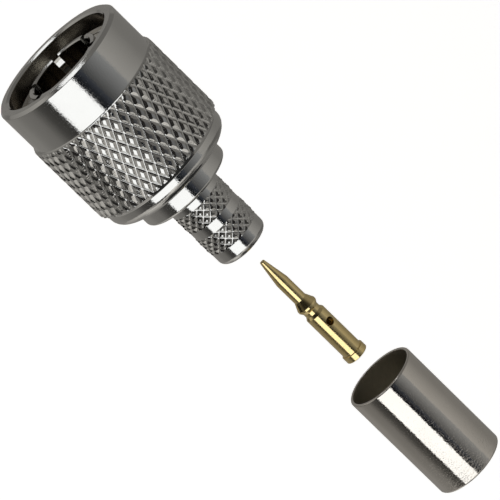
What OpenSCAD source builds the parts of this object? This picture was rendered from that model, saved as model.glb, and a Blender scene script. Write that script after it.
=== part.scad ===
// TNC crimp plug drawn apart on its own axis: the connector with its free coupling nut, the
// centre contact and the crimp ferrule. The mouth faces +X. The mating plane, which is the front
// edge of the slotted outer contact, lies at X = 0. All sizes in millimetres.

/* [Coupling nut] */
// Distance that the nut's front face stands ahead of the mating plane
nut_lead = 0.8; // [0.3:0.05:1.2]
// Length of the nut from front face to rear face
nut_len = 15.35; // [14:0.05:17]
// Outside diameter of the smooth front collar
collar_d = 14.2; // [13.8:0.05:14.4]
// Length of the smooth front collar
collar_len = 4.65; // [4:0.05:5]
// Width of the bevel on the outer front edge
collar_bevel = 0.3; // [0.1:0.05:0.5]
// Bore of the plain mouth ahead of the thread
mouth_d = 11.9; // [11.4:0.05:12.2]
// Depth of the plain mouth from the front face
mouth_len = 1.7; // [1.2:0.05:2.2]
// Width of the bevel on the inner front edge
mouth_bevel = 0.2; // [0.1:0.05:0.3]
// Length of the cone that leads from the mouth to the thread
lead_in_len = 0.5; // [0.3:0.05:0.8]
// Crest bore of the coupling thread
thread_minor_d = 10.3; // [10.2:0.02:10.5]
// Length of the coupling thread
thread_len = 3.4; // [3:0.1:4.5]
// Bore of the run-out behind the thread
relief_d = 11.4; // [11.2:0.05:11.6]
// Length of the run-out behind the thread
relief_len = 2.5; // [1.4:0.1:3]
// Outside diameter of the smooth band behind the knurl
rear_d = 13.85; // [13.5:0.05:14]
// Length of the slope from the knurl down to the rear band
rear_slope = 0.37; // [0.2:0.01:0.8]
// Radius of the nut's rounded rear edge
rear_round = 1; // [0.4:0.05:1.2]

/* [Nut knurl] */
// Diameter over the flat tops of the diamonds
knurl_d = 14.75; // [14.5:0.05:15]
// Depth of the V grooves between the diamonds
knurl_depth = 0.17; // [0.1:0.01:0.35]
// Number of diamonds around the nut
knurl_teeth = 46; // [36:1:56]
// Number of half rows behind the first row of diamonds, an even number
knurl_rows = 8; // [6:2:10]
// Axial distance between half rows
knurl_half_pitch = 1.009; // [0.9:0.001:1.1]
// Size of a flat top as a share of its diamond
knurl_flat = 0.38; // [0.2:0.01:0.5]
// Length of the bevel from the collar up to the knurl
knurl_start = 0.15; // [0.1:0.05:0.4]
// Length over which the end diamonds slope down
knurl_ease_len = 0.45; // [0.2:0.05:0.8]
// Height taken off the diamonds at the two ends
knurl_ease = 0.07; // [0.02:0.01:0.1]

/* [Outer contact and body] */
// Outside diameter of the slotted outer contact
contact_d = 8.1; // [8:0.01:8.2]
// Bore of the slotted outer contact
contact_bore_d = 7; // [6.8:0.05:7.2]
// Length of the outer contact ahead of the gasket
contact_len = 4.9; // [4.5:0.05:5.2]
// Depth of the outer contact's bore
contact_bore_len = 5.2; // [5:0.05:5.6]
// Width of the bevel inside the outer contact's front edge
contact_bevel = 0.12; // [0.05:0.01:0.2]
// Number of slots that let the outer contact spring
slot_count = 6; // [4:1:8]
// Width of a slot
slot_w = 0.72; // [0.5:0.02:0.9]
// Length of a slot, which runs into the gasket's land so that each finger springs by itself
slot_len = 5.05; // [3.5:0.05:5.15]
// Diameter of the land under the gasket
gasket_land_d = 8.6; // [8.4:0.05:8.8]
// Diameter of the body under the nut and of the rear flange
flange_d = 9.7; // [9.4:0.05:9.9]
// Distance that the flange stands out behind the nut
flange_out = 2; // [1.5:0.05:3]
// Radius of the flange's rounded rear edge
flange_round = 0.3; // [0.2:0.05:0.6]
// Radial running clearance between nut and body
nut_clearance = 0.08; // [0.02:0.01:0.1]

/* [Crimp stem] */
// Diameter of the smooth neck behind the flange
neck_d = 5.65; // [5.5:0.01:5.8]
// Length of the smooth neck
neck_len = 1.25; // [1:0.05:2]
// Diameter of the smooth bands
stem_d = 5.55; // [5.4:0.01:5.7]
// Diameter over the tops of the knurled bands
band_d = 5.72; // [5.6:0.01:5.9]
// Depth of the knurled bands' grooves
band_depth = 0.17; // [0.1:0.01:0.3]
// Number of diamonds around a band
band_teeth = 20; // [16:1:28]
// Number of half rows behind a band's first row of diamonds, an even number
band_rows = 4; // [2:2:6]
// Axial distance between half rows
band_half_pitch = 0.45; // [0.4:0.01:0.5]
// Size of a flat top as a share of its diamond
band_flat = 0.2; // [0.1:0.01:0.4]
// Height taken off a band's diamonds at the two ends
band_ease = 0.05; // [0.02:0.01:0.1]
// Length over which a band's end diamonds slope down
band_ease_len = 0.2; // [0.1:0.05:0.4]
// Length of the smooth band between the knurled bands
band_gap = 0.95; // [0.7:0.05:1.2]
// Length of the smooth end behind the second band
tail_len = 1.65; // [1.2:0.05:2]
// Radius of the stem's rounded end
stem_round = 0.6; // [0.2:0.05:0.6]
// Bore of the stem for the cable's dielectric
stem_bore_d = 4.1; // [3.8:0.05:4.2]
// Bore of the pocket between insulator and stem for the centre contact's rear collar
pocket_d = 3; // [2.6:0.05:3.4]
// Room behind the seated centre contact in that pocket
pocket_spare = 0.05; // [0.02:0.01:0.1]

/* [Insulator] */
// Outside diameter of the insulator
insulator_d = 6.3; // [6:0.05:6.6]
// Distance of the insulator's front face behind the mating plane
insulator_front = 4.2; // [3.8:0.05:4.6]
// Length of the insulator
insulator_len = 8.55; // [8:0.05:9]
// Radial gap between the insulator and its seat in the body
insulator_gap = 0.01; // [0.005:0.005:0.03]
// Radial gap between the centre contact and the insulator's bore
pin_gap = 0.04; // [0.02:0.01:0.08]

/* [Gasket] */
// Radial width of the gasket's section
gasket_wall = 0.68; // [0.58:0.02:0.78]
// Thickness of the gasket
gasket_t = 1.1; // [0.8:0.05:1.3]
// Radial gap between the gasket and its land
gasket_gap = 0.02; // [0.01:0.01:0.05]

/* [Retaining ring] */
// Distance of the ring's front face behind the mating plane
ring_front = 9.5; // [9:0.1:10.5]
// Thickness of the ring along the axis
ring_t = 0.7; // [0.5:0.05:0.9]
// Inside diameter of the ring
ring_bore_d = 8.66; // [8.5:0.02:8.8]
// Radial gap between the ring and the floor of the body's groove
ring_gap = 0.02; // [0.01:0.01:0.05]
// Outside diameter of the ring
ring_d = 10.6; // [10.2:0.05:10.8]
// Width of the ring's opening
ring_split = 1.5; // [1:0.1:2]
// Axial play of the ring in the nut's groove, on each side
ring_play = 0.1; // [0.05:0.01:0.15]
// Radial play of the ring's outer edge in the nut's groove
ring_room = 0.2; // [0.1:0.05:0.3]

/* [Centre contact] */
// Diameter of the contact's shaft
pin_d = 1.35; // [1.32:0.01:1.37]
// Diameter of the blunt tip
tip_d = 0.5; // [0.3:0.05:0.7]
// Length of the conical tip
tip_len = 2.75; // [2:0.05:4]
// Distance from the tip to the end of the shaft
shaft_end = 5.2; // [4.8:0.05:5.8]
// Distance from the tip to the crest of the shoulder
shoulder_at = 6.05; // [5.9:0.05:6.2]
// Length of the shoulder's flat crest
shoulder_land = 0.2; // [0.1:0.05:0.3]
// Diameter of the shoulder and the barrel
barrel_d = 2.1; // [2:0.01:2.2]
// Diameter of the groove behind the shoulder
groove_d = 1.7; // [1.5:0.05:1.8]
// Distance from the tip to the groove's front end
groove_at = 6.6; // [6.5:0.05:6.8]
// Length of the groove
groove_len = 0.4; // [0.3:0.05:0.6]
// Distance from the tip to the barrel's full diameter
barrel_at = 7.3; // [7.2:0.05:7.6]
// Diameter of the collar at the contact's rear end
heel_d = 2.4; // [2.2:0.02:2.6]
// Distance from the tip to the rear collar
heel_at = 12.4; // [12:0.05:12.7]
// Length of the rear collar
heel_len = 0.7; // [0.5:0.05:1]
// Bore of the cup for the cable's inner conductor
cup_d = 1.1; // [0.9:0.05:1.3]
// Depth of the conductor cup
cup_len = 5.05; // [4.2:0.05:5.2]
// Depth of the drill's point at the bottom of the cup
cup_point = 0.33; // [0.2:0.01:0.4]
// Diameter of the inspection hole
peep_d = 0.86; // [0.6:0.02:1]
// Distance from the tip to the inspection hole
peep_at = 8.55; // [8.5:0.05:9.4]

/* [Crimp ferrule] */
// Outside diameter of the ferrule
ferrule_d = 7.4; // [7:0.05:7.8]
// Wall thickness of the ferrule
ferrule_wall = 0.32; // [0.25:0.01:0.45]
// Length of the ferrule
ferrule_len = 12.6; // [11:0.05:14]
// Radius of the ferrule's rounded outer edges
ferrule_round = 0.15; // [0.05:0.01:0.2]

/* [Layout] */
// Distance from the stem's end to the centre contact's tip
contact_away = 2.4; // [1:0.05:10]
// Distance from the centre contact's end to the ferrule
ferrule_away = 3.15; // [1:0.05:10]

/* [Hidden] */
// Segments of a full circle and steps of a rounded edge
$fn = 96;
round_steps = 6;
// Overlap where two forms are joined
join = 0.2;
// Step by which smooth metal lies under a knurl's grooves and around its ends
under = 0.06;
// Stations along the axis, counted to the rear from the mating plane
nut_front = -nut_lead;
nut_rear = nut_front + nut_len;
collar_rear = nut_front + collar_len;
knurl_front = collar_rear + knurl_start;
knurl_len = (knurl_rows + 0.5) * knurl_half_pitch;
knurl_rear = knurl_front + knurl_len;
mouth_rear = nut_front + mouth_len;
thread_front = mouth_rear + lead_in_len;
thread_rear = thread_front + thread_len;
relief_rear = thread_rear + relief_len;
gasket_rear = contact_len + gasket_t;
flange_rear = nut_rear + flange_out;
band_len = (band_rows + 0.5) * band_half_pitch;
band_1 = flange_rear + neck_len;
band_2 = band_1 + band_len + band_gap;
stem_end = band_2 + band_len + tail_len;
seat_rear = insulator_front + insulator_len;
tip_home = seat_rear - heel_at;
pin_len = heel_at + heel_len;
pocket_rear = tip_home + pin_len + pocket_spare;
tip_rest = stem_end + contact_away;
ferrule_rest = tip_rest + pin_len + ferrule_away;
// Radii
collar_r = collar_d / 2;
rear_r = rear_d / 2;
knurl_r = knurl_d / 2;
groove_r = knurl_r - knurl_depth;
flange_r = flange_d / 2;
nut_bore_r = flange_r + nut_clearance;
band_r = band_d / 2;
stem_r = stem_d / 2;
insulator_r = insulator_d / 2;
seat_r = insulator_r + insulator_gap;
gasket_bore_r = gasket_land_d / 2 + gasket_gap;
gasket_r = gasket_bore_r + gasket_wall;

// Point at radius r and angle a, z behind the mating plane
function polar(r, a, z) = [r * cos(a), r * sin(a), z];

// Points of a rounded corner about the centre c, from angle a to angle b
function corner(c, r, a, b) = [
    for (k = [0 : round_steps])
        let (t = a + (b - a) * k / round_steps)
        [c[0] + r * cos(t), c[1] + r * sin(t)]
];

// Lays a form that is drawn along z, front end first, on the part's axis
module on_axis(at) {
    rotate([0, -90, 0])
        translate([0, 0, at])
        children();
}

// Closed ring of diamonds with flat tops between two sets of V grooves that wind opposite ways.
// Each diamond is a flat with four flanks that run down to the groove crossings around it. The front
// end cuts the grooves halfway between two rows, the rear end goes through the middle of a row.
module diamond_ring(crest, depth, teeth, rows, half, flat, bore, ease, ease_len) {
    length = (rows + 0.5) * half;
    step = 180 / teeth;
    count = teeth * (rows + 1);
    around = 2 * teeth;
    base = 5 * count - teeth;
    bottom_r = crest - depth;
    ridge_share = 0.5 / (1 - flat);
    function row_z(j) = (j + 0.5) * half;
    function top_r(z) = crest - ease * max(0, 1 - z / ease_len, 1 - (length - z) / ease_len);
    function cell_a(k, j) = (2 * k + j % 2) * step;
    function cross_a(k, j) = (2 * k + 1 - j % 2) * step;
    function top(a, z) = polar(top_r(z), a, z);
    crossings = [
        for (j = [0 : rows], k = [0 : teeth - 1])
            polar(bottom_r, cross_a(k, j), row_z(j))
    ];
    lefts = [
        for (j = [0 : rows], k = [0 : teeth - 1])
            top(cell_a(k, j) - flat * step, row_z(j))
    ];
    rights = [
        for (j = [0 : rows], k = [0 : teeth - 1])
            top(cell_a(k, j) + flat * step, row_z(j))
    ];
    uppers = [
        for (j = [0 : rows - 1], k = [0 : teeth - 1])
            top(cell_a(k, j), row_z(j) + flat * half)
    ];
    lowers = [
        for (j = [0 : rows], k = [0 : teeth - 1])
            top(cell_a(k, j), row_z(j) - flat * half)
    ];
    ridges = [
        for (m = [0 : around - 1])
            polar(bottom_r + (top_r(0) - bottom_r) * ridge_share, m * step, 0)
    ];
    bottoms = [
        for (m = [0 : around - 1])
            polar(bottom_r, (m + 0.5) * step, 0)
    ];
    inner = [
        for (z = [0, length], m = [0 : around - 1])
            polar(bore, m * step, z)
    ];
    function v(k, j) = j * teeth + (k + teeth) % teeth;
    function l(k, j) = count + v(k, j);
    function r(k, j) = 2 * count + v(k, j);
    function u(k, j) = 3 * count + v(k, j);
    function d(k, j) = 4 * count - teeth + v(k, j);
    function e(m) = base + m % around;
    function g(m) = base + around + (m + around) % around;
    function qf(m) = base + 2 * around + m % around;
    function qr(m) = base + 3 * around + m % around;
    function vl(k, j) = v(k - 1 + j % 2, j);
    function vr(k, j) = v(k + j % 2, j);
    upper_faces = [
        for (j = [0 : rows - 1], k = [0 : teeth - 1])
            each [
                [l(k, j), u(k, j), r(k, j)],
                [vl(k, j), v(k, j + 1), u(k, j)],
                [vl(k, j), u(k, j), l(k, j)],
                [v(k, j + 1), vr(k, j), r(k, j)],
                [v(k, j + 1), r(k, j), u(k, j)]
            ]
    ];
    lower_faces = [
        for (j = [1 : rows], k = [0 : teeth - 1])
            each [
                [l(k, j), r(k, j), d(k, j)],
                [vr(k, j), v(k, j - 1), d(k, j)],
                [vr(k, j), d(k, j), r(k, j)],
                [v(k, j - 1), vl(k, j), l(k, j)],
                [v(k, j - 1), l(k, j), d(k, j)]
            ]
    ];
    front_row = [
        for (k = [0 : teeth - 1])
            each [
                [l(k, 0), r(k, 0), d(k, 0)],
                [g(2 * k - 1), vl(k, 0), l(k, 0)],
                [g(2 * k - 1), l(k, 0), e(2 * k)],
                [e(2 * k), l(k, 0), d(k, 0)],
                [vr(k, 0), g(2 * k), r(k, 0)],
                [g(2 * k), e(2 * k), r(k, 0)],
                [e(2 * k), d(k, 0), r(k, 0)],
                [g(2 * k), v(k, 0), e(2 * k + 1)],
                [e(2 * k + 1), v(k, 0), g(2 * k + 1)]
            ]
    ];
    front_end = [
        for (m = [0 : around - 1])
            each [
                [e(m), g(m), qf(m)],
                [g(m), e(m + 1), qf(m + 1)],
                [g(m), qf(m + 1), qf(m)],
                [qf(m + 1), qr(m + 1), qr(m)],
                [qf(m + 1), qr(m), qf(m)]
            ]
    ];
    rear_end = [
        for (k = [0 : teeth - 1])
            each [
                [r(k, rows), l(k, rows), qr(2 * k)],
                [v(k, rows), r(k, rows), qr(2 * k)],
                [v(k, rows), qr(2 * k), qr(2 * k + 1)],
                [l(k + 1, rows), v(k, rows), qr(2 * k + 1)],
                [l(k + 1, rows), qr(2 * k + 1), qr(2 * k + 2)]
            ]
    ];
    polyhedron(
        points = concat(crossings, lefts, rights, uppers, lowers, ridges, bottoms, inner),
        faces = concat(upper_faces, lower_faces, front_row, front_end, rear_end)
    );
}

// Turned nut: plain mouth, thread bore, run-out and rear bore with the ring's groove
module coupling_nut() {
    core_r = groove_r - under;
    outline = concat(
        [
            [mouth_d / 2 + mouth_bevel, nut_front],
            [collar_r - collar_bevel, nut_front],
            [collar_r, nut_front + collar_bevel],
            [collar_r, collar_rear],
            [core_r, knurl_front + under],
            [core_r, knurl_rear - under],
            [rear_r, knurl_rear + rear_slope]
        ],
        corner([rear_r - rear_round, nut_rear - rear_round], rear_round, 0, 90),
        [
            [nut_bore_r, nut_rear],
            [nut_bore_r, ring_front + ring_t + ring_play],
            [ring_d / 2 + ring_room, ring_front + ring_t + ring_play],
            [ring_d / 2 + ring_room, ring_front - ring_play],
            [nut_bore_r, ring_front - ring_play],
            [nut_bore_r, relief_rear],
            [relief_d / 2, relief_rear],
            [relief_d / 2, thread_rear],
            [thread_minor_d / 2, thread_rear],
            [thread_minor_d / 2, thread_front],
            [mouth_d / 2, mouth_rear],
            [mouth_d / 2, nut_front + mouth_bevel]
        ]
    );
    color("silver")
        union() {
            on_axis(0)
                rotate_extrude()
                polygon(outline);
            on_axis(knurl_front)
                rotate([0, 0, 180 / knurl_teeth])
                diamond_ring(
                    knurl_r, knurl_depth, knurl_teeth, knurl_rows, knurl_half_pitch,
                    knurl_flat, core_r - join, knurl_ease, knurl_ease_len
                );
        }
}

// Turned body: slotted outer contact, gasket land, bearing for the nut, flange and crimp stem
module connector_body() {
    band_core = band_r - band_depth - under;
    outline = concat(
        [
            [contact_bore_d / 2, contact_bevel],
            [contact_bore_d / 2 + contact_bevel, 0],
            [contact_d / 2, 0],
            [contact_d / 2, contact_len],
            [gasket_land_d / 2, contact_len],
            [gasket_land_d / 2, gasket_rear],
            [flange_r, gasket_rear],
            [flange_r, ring_front],
            [ring_bore_d / 2 - ring_gap, ring_front],
            [ring_bore_d / 2 - ring_gap, ring_front + ring_t],
            [flange_r, ring_front + ring_t]
        ],
        corner([flange_r - flange_round, flange_rear - flange_round], flange_round, 0, 90),
        [
            [neck_d / 2, flange_rear],
            [neck_d / 2, band_1 + under],
            [band_core, band_1 + under],
            [band_core, band_1 + band_len - under],
            [stem_r, band_1 + band_len - under],
            [stem_r, band_2 + under],
            [band_core, band_2 + under],
            [band_core, band_2 + band_len - under],
            [stem_r, band_2 + band_len - under]
        ],
        corner([stem_r - stem_round, stem_end - stem_round], stem_round, 0, 90),
        [
            [stem_bore_d / 2, stem_end],
            [stem_bore_d / 2, pocket_rear],
            [pocket_d / 2, pocket_rear],
            [pocket_d / 2, seat_rear],
            [seat_r, seat_rear],
            [seat_r, contact_bore_len],
            [contact_bore_d / 2, contact_bore_len]
        ]
    );
    color("silver")
        union() {
            difference() {
                on_axis(0)
                    rotate_extrude()
                    polygon(outline);
                for (k = [0 : slot_count - 1])
                    on_axis(-join)
                    rotate([0, 0, 90 + k * 360 / slot_count])
                    translate([contact_bore_d / 2 - join, -slot_w / 2, 0])
                    cube([gasket_land_d / 2 - contact_bore_d / 2 + 2 * join, slot_w, slot_len + join]);
            }
            for (at = [band_1, band_2])
                on_axis(at)
                diamond_ring(
                    band_r, band_depth, band_teeth, band_rows, band_half_pitch,
                    band_flat, band_core - join, band_ease, band_ease_len
                );
        }
}

// Turned PTFE bush with a stepped bore that takes the centre contact's shaft and barrel
module insulator() {
    shaft_r = pin_d / 2 + pin_gap;
    barrel_r = barrel_d / 2 + pin_gap;
    color("white")
        on_axis(0)
        rotate_extrude()
        polygon([
            [shaft_r, insulator_front],
            [insulator_r, insulator_front],
            [insulator_r, seat_rear],
            [barrel_r, seat_rear],
            [barrel_r, tip_home + shoulder_at - pin_gap],
            [shaft_r, tip_home + shaft_end - pin_gap]
        ]);
}

// Flat silicone ring that seals against the mating jack's rim
module gasket() {
    color("firebrick")
        on_axis(contact_len)
        difference() {
            cylinder(r = gasket_r, h = gasket_t);
            translate([0, 0, -join])
                cylinder(r = gasket_bore_r, h = gasket_t + 2 * join);
        }
}

// Split spring ring that sits in the body's groove and holds the nut on
module retaining_ring() {
    color("peru")
        on_axis(ring_front)
        difference() {
            cylinder(d = ring_d, h = ring_t);
            translate([0, 0, -join])
                cylinder(d = ring_bore_d, h = ring_t + 2 * join);
            translate([0, -ring_split / 2, -join])
                cube([ring_d, ring_split, ring_t + 2 * join]);
        }
}

// Gold-plated contact: conical tip, shaft, shoulder, groove, barrel with cup and inspection hole
module centre_contact() {
    color("gold")
        difference() {
            on_axis(tip_rest)
                rotate_extrude()
                polygon([
                    [0, 0],
                    [tip_d / 2, 0],
                    [pin_d / 2, tip_len],
                    [pin_d / 2, shaft_end],
                    [barrel_d / 2, shoulder_at],
                    [barrel_d / 2, shoulder_at + shoulder_land],
                    [groove_d / 2, groove_at],
                    [groove_d / 2, groove_at + groove_len],
                    [barrel_d / 2, barrel_at],
                    [barrel_d / 2, heel_at],
                    [heel_d / 2, heel_at],
                    [heel_d / 2, pin_len],
                    [0, pin_len]
                ]);
            on_axis(tip_rest + pin_len - cup_len)
                rotate_extrude()
                polygon([
                    [0, -cup_point],
                    [cup_d / 2, 0],
                    [cup_d / 2, cup_len + join],
                    [0, cup_len + join]
                ]);
            translate([-(tip_rest + peep_at), 0, 0])
                cylinder(d = peep_d, h = barrel_d);
        }
}

// Plain thin tube with rounded outer edges
module crimp_ferrule() {
    outer = ferrule_d / 2;
    inner = outer - ferrule_wall;
    color("silver")
        on_axis(ferrule_rest)
        rotate_extrude()
        polygon(concat(
            [[inner, 0]],
            corner([outer - ferrule_round, ferrule_round], ferrule_round, -90, 0),
            corner([outer - ferrule_round, ferrule_len - ferrule_round], ferrule_round, 0, 90),
            [[inner, ferrule_len]]
        ));
}

coupling_nut();
connector_body();
insulator();
gasket();
retaining_ring();
centre_contact();
crimp_ferrule();
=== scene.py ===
import math

import bmesh
import bpy
import numpy as np
from mathutils import Matrix, Vector


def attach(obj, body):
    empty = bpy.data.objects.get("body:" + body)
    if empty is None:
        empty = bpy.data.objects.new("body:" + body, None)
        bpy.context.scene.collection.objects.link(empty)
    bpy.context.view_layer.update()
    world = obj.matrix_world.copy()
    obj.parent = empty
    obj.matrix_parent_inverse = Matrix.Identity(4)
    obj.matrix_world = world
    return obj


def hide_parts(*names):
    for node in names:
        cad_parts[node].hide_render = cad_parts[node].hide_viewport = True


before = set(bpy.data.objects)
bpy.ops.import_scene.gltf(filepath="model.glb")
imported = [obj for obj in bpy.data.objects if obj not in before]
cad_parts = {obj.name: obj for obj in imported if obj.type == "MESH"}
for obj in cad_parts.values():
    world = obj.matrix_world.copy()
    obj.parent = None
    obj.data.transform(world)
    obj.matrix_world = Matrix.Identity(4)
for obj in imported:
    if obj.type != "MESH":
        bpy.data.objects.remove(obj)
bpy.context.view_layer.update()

# Coupling nut. Free-cutting brass, turned and bored on a lathe, with a diamond knurl rolled into its
# outside and a fine thread cut in its mouth, then plated with bright nickel. It turns on the body,
# held by a spring ring, and screws onto the jack.
MM = 0.001
# Sizes are in mm, and places along the axis count backwards from the mating plane
NUT_FRONT = -0.8
NUT_REAR = 14.55
COLLAR_R = 7.1
COLLAR_REAR = 3.86
KNURL_R = 7.375
KNURL_DEPTH = 0.174
KNURL_TEETH = 46
KNURL_ROWS = 8
KNURL_HALF_PITCH = 1.009
KNURL_FRONT = 4.0
KNURL_REAR = KNURL_FRONT + (KNURL_ROWS + 0.5) * KNURL_HALF_PITCH
KNURL_FOOT_LEN = 0.03
KNURL_FOOT_FRONT_R = 7.2
KNURL_FOOT_REAR_R = 7.18
REAR_BAND_R = 6.925
REAR_BAND_FRONT = KNURL_REAR + 0.37
REAR_BAND_ROUND = 1.0
NUT_BORE_R = 4.93
RING_ROOM_R = 5.5
RING_ROOM_FRONT = 9.4
RING_ROOM_REAR = 10.3
RELIEF_R = 5.7
RELIEF_REAR = 7.3
COLLAR_CHAMFER = 0.3
MOUTH_CHAMFER = 0.2
MOUTH_R = 5.95
MOUTH_REAR = 0.9
THREAD_FRONT = 1.4
THREAD_REAR = 4.8
THREAD_CREST_R = 5.15
THREAD_ROOT_R = 5.556
THREAD_LIP_R = 5.6
THREAD_PITCH = 25.4 / 28
NUT_LINES = 288


def on_axis(r, a, z):
    """Points r mm from the axis at angle a from +Z towards +Y, z mm behind the mating plane:
    x = -z, y = r sin a, z = r cos a, in metres."""
    r, a, z = np.broadcast_arrays(r, a, z)
    return np.stack([-z, r * np.sin(a), r * np.cos(a)], axis=-1) * MM


def turned_outline(corners, steps=6, hold=0.03):
    """Outline (r, z) of a turned piece through corners (r, z, edge radius). A corner becomes an arc
    tangent to both sides: it starts radius / tan(half the corner's angle) before the corner, and its
    centre lies radius / sin(half the angle) along the bisector. A holding point just outside each
    end of the arc keeps the shading of the plain stretches plain."""
    corners = np.array(corners, float)
    tip, radius = corners[1:-1, :2], corners[1:-1, 2:]
    back, ahead = corners[:-2, :2] - tip, corners[2:, :2] - tip
    back_len = np.linalg.norm(back, axis=1, keepdims=True)
    ahead_len = np.linalg.norm(ahead, axis=1, keepdims=True)
    back, ahead = back / back_len, ahead / ahead_len
    half = np.arccos(np.clip((back * ahead).sum(1, keepdims=True), -1, 1)) / 2
    cut = radius / np.tan(half)
    bisector = (back + ahead) / np.linalg.norm(back + ahead, axis=1, keepdims=True)
    centre = tip + bisector * radius / np.sin(half)
    start, end = tip + back * cut - centre, tip + ahead * cut - centre
    turn = np.pi - 2 * half
    t = np.linspace(0, 1, steps + 1)[:, None, None]
    arc = centre + (np.sin((1 - t) * turn) * start + np.sin(t * turn) * end) / np.sin(turn)
    before = tip + back * np.minimum(cut + hold, (cut + back_len) / 2)
    after = tip + ahead * np.minimum(cut + hold, (cut + ahead_len) / 2)
    rows = np.concatenate([before[None], arc, after[None]]).transpose(1, 0, 2).reshape(-1, 2)
    rows = np.concatenate([corners[:1, :2], rows, corners[-1:, :2]])
    new = np.r_[True, np.linalg.norm(np.diff(rows, axis=0), axis=1) > 1e-5]
    return rows[new]


def revolved(outline, angles):
    """Grid of points, one row for each outline point and one column for each angle."""
    return on_axis(outline[:, :1], angles[None], outline[:, 1:])


def ring_faces(rows, columns):
    """Four-sided faces of a grid that is open along its rows and closed around its columns."""
    index = np.arange(rows * columns).reshape(rows, columns)
    around = np.roll(index, -1, axis=1)
    return np.stack([index[:-1], around[:-1], around[1:], index[1:]], axis=-1).reshape(-1, 4)


def diamond_knurl(
    front, crest, depth, teeth, rows, half_pitch, turn,
    levels_p, levels_q, heights, ease, run_out, end_len,
):
    """Points and triangles of a knurled ring, then the points along its front and its rear end. Each
    diamond is a grid in p and q, which run across the two sets of grooves from -1 to 1: the angle goes
    with (p + q) / 2 and the place along the axis with (p - q) / 2. Grid lines stand at the levels of
    each set, and the height follows the line that is further out of the two: flat on top, then sloped
    down to the V of the groove, so that ridges run along the grid's diagonals. The front end cuts the
    grooves halfway between two rows, the rear end goes through the middle of a row, and grid points
    next to them are put on them. Within end_len of both ends the tops slope down by ease, and the
    grooves lose a share run_out of their depth."""
    step = np.pi / teeth
    last = len(heights) - 1
    line_p, line_q = np.meshgrid(np.arange(-last, last + 1), np.arange(-last, last + 1), indexing="ij")
    p = np.sign(line_p) * np.array(levels_p)[abs(line_p)]
    q = np.sign(line_q) * np.array(levels_q)[abs(line_q)]
    share = np.array(heights)[np.maximum(abs(line_p), abs(line_q))]
    k, j = np.meshgrid(np.arange(teeth), np.arange(-1, rows + 1), indexing="ij")
    k, j = k[..., None, None], j[..., None, None]
    angle = turn + (2 * k + j % 2) * step + (p + q) / 2 * step
    row = np.broadcast_to(j + 0.5 + (line_p - line_q) / (2 * last), angle.shape)
    along = (j + 0.5 + (p - q) / 2) * half_pitch
    length = (rows + 0.5) * half_pitch
    on_front, on_rear = abs(row) < 1e-6, abs(row - rows - 0.5) < 1e-6
    along = np.where(on_front, 0, np.where(on_rear, length, along))
    near_end = np.clip(1 - np.minimum(along, length - along) / end_len, 0, 1)
    r = crest - ease * near_end * share - depth * (1 - run_out * near_end) * (1 - share)
    points = on_axis(r, angle, front + along).reshape(-1, 3)
    index = np.arange(angle.size).reshape(angle.shape)
    a, b = index[..., :-1, :-1], index[..., 1:, :-1]
    c, d = index[..., 1:, 1:], index[..., :-1, 1:]
    same = (line_p[:-1, :-1] + line_p[1:, 1:]) * (line_q[:-1, :-1] + line_q[1:, 1:]) > 0
    split = (same | on_front[..., :-1, :-1] & on_front[..., 1:, 1:])[..., None]
    one = np.where(split, np.stack([a, b, c], -1), np.stack([a, b, d], -1))
    two = np.where(split, np.stack([a, c, d], -1), np.stack([b, c, d], -1))
    faces = np.concatenate([one.reshape(-1, 3), two.reshape(-1, 3)])
    middle = row.reshape(-1)[faces].mean(axis=1)
    faces = faces[(middle > 0) & (middle < rows + 0.5)]
    used, faces = np.unique(faces, return_inverse=True)
    ends = [
        np.unique(points[used][at.reshape(-1)[used]].round(10), axis=0) for at in (on_front, on_rear)
    ]
    return points[used], faces.reshape(-1, 3), *ends


def stitched(ring_a, ring_b):
    """Triangles of the band between two rings of points around the axis, which need not have equally
    many points. Taken by angle, each side of a ring goes to the point of the other ring that has been
    reached when half of that side is passed."""
    rings, middles = [], []
    for ring in (ring_a, ring_b):
        angle = np.arctan2(ring[:, 1], ring[:, 2])
        order = np.argsort(angle)
        angle = angle[order]
        rings.append(ring[order])
        middles.append((angle + np.r_[angle[1:], angle[0] + 2 * np.pi]) / 2)
    count_a, count_b = len(ring_a), len(ring_b)
    side_a, side_b = np.arange(count_a), np.arange(count_b)
    tip_b = np.searchsorted(middles[1], middles[0]) % count_b
    tip_a = np.searchsorted(middles[0], middles[1]) % count_a
    faces = np.concatenate([
        np.stack([side_a, (side_a + 1) % count_a, count_a + tip_b], axis=-1),
        np.stack([count_a + side_b, tip_a, count_a + (side_b + 1) % count_b], axis=-1),
    ])
    return np.concatenate(rings), faces


def make_piece(name, parts, material, sharp, body, node):
    """One closed mesh from parts, each of points in metres and faces. Points that coincide are
    merged, faces turned outwards, and edges sharper than the given angle left sharp."""
    points, faces, base = [], [], 0
    for part_points, *part_faces in parts:
        part_points = part_points.reshape(-1, 3)
        points.append(part_points)
        faces += [f for group in part_faces for f in (np.asarray(group) + base).tolist()]
        base += len(part_points)
    mesh = bpy.data.meshes.new(name)
    mesh.from_pydata(np.concatenate(points).tolist(), [], faces)
    bm = bmesh.new()
    bm.from_mesh(mesh)
    bmesh.ops.remove_doubles(bm, verts=bm.verts, dist=1e-8)
    bmesh.ops.recalc_face_normals(bm, faces=bm.faces)
    bm.to_mesh(mesh)
    bm.free()
    mesh.shade_smooth()
    mesh.set_sharp_from_angle(angle=math.radians(sharp))
    mesh.materials.append(material)
    piece = bpy.data.objects.new(name, mesh)
    bpy.context.scene.collection.objects.link(piece)
    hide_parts(node)
    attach(piece, body)


def linear(colour):
    """Linear RGBA of an sRGB hex colour: each channel divided by 12.92 near black, and above that with
    0.055 added, divided by 1.055 and raised to the power 2.4."""
    s = np.array([int(colour[i:i + 2], 16) for i in (1, 3, 5)]) / 255
    return (*np.where(s <= 0.04045, s / 12.92, ((s + 0.055) / 1.055) ** 2.4), 1.0)


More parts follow.
